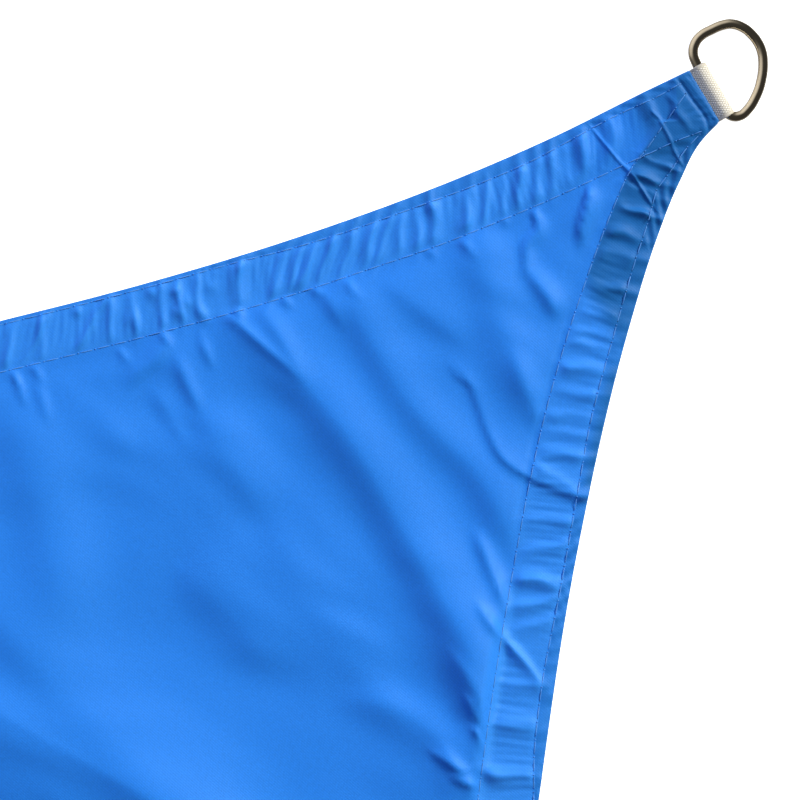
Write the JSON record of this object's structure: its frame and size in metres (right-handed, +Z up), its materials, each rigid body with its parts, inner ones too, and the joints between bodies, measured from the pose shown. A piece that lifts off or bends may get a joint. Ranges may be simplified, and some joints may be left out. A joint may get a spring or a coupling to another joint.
{
  "type": "shade sail",
  "caption": "Square shade sail of coated cloth with hollow hemmed edges and a steel D-ring in a webbing loop at each corner, lying flat.",
  "frame": {"origin": "centre of the square, on the underside, at the surface the sail lies on", "axes": "+Z up, out of the sail's face; X and Y along the sail's sides, with the corner that the picture shows at +X +Y"},
  "size_m": [1.9976, 1.9976, 0.0114],
  "materials": {
    "sail_cloth": "azure plain-woven polyester with a soft coated sheen",
    "webbing": "off-white dense woven webbing",
    "ring_steel": "polished stainless steel wire"
  },
  "bodies": {
    "root": {"sail_cloth": "sail_cloth", "webbing_loop_1": "webbing", "webbing_loop_2": "webbing", "webbing_loop_3": "webbing", "webbing_loop_4": "webbing", "d_ring_1": "ring_steel", "d_ring_2": "ring_steel", "d_ring_3": "ring_steel", "d_ring_4": "ring_steel"}
  },
  "joints": []
}
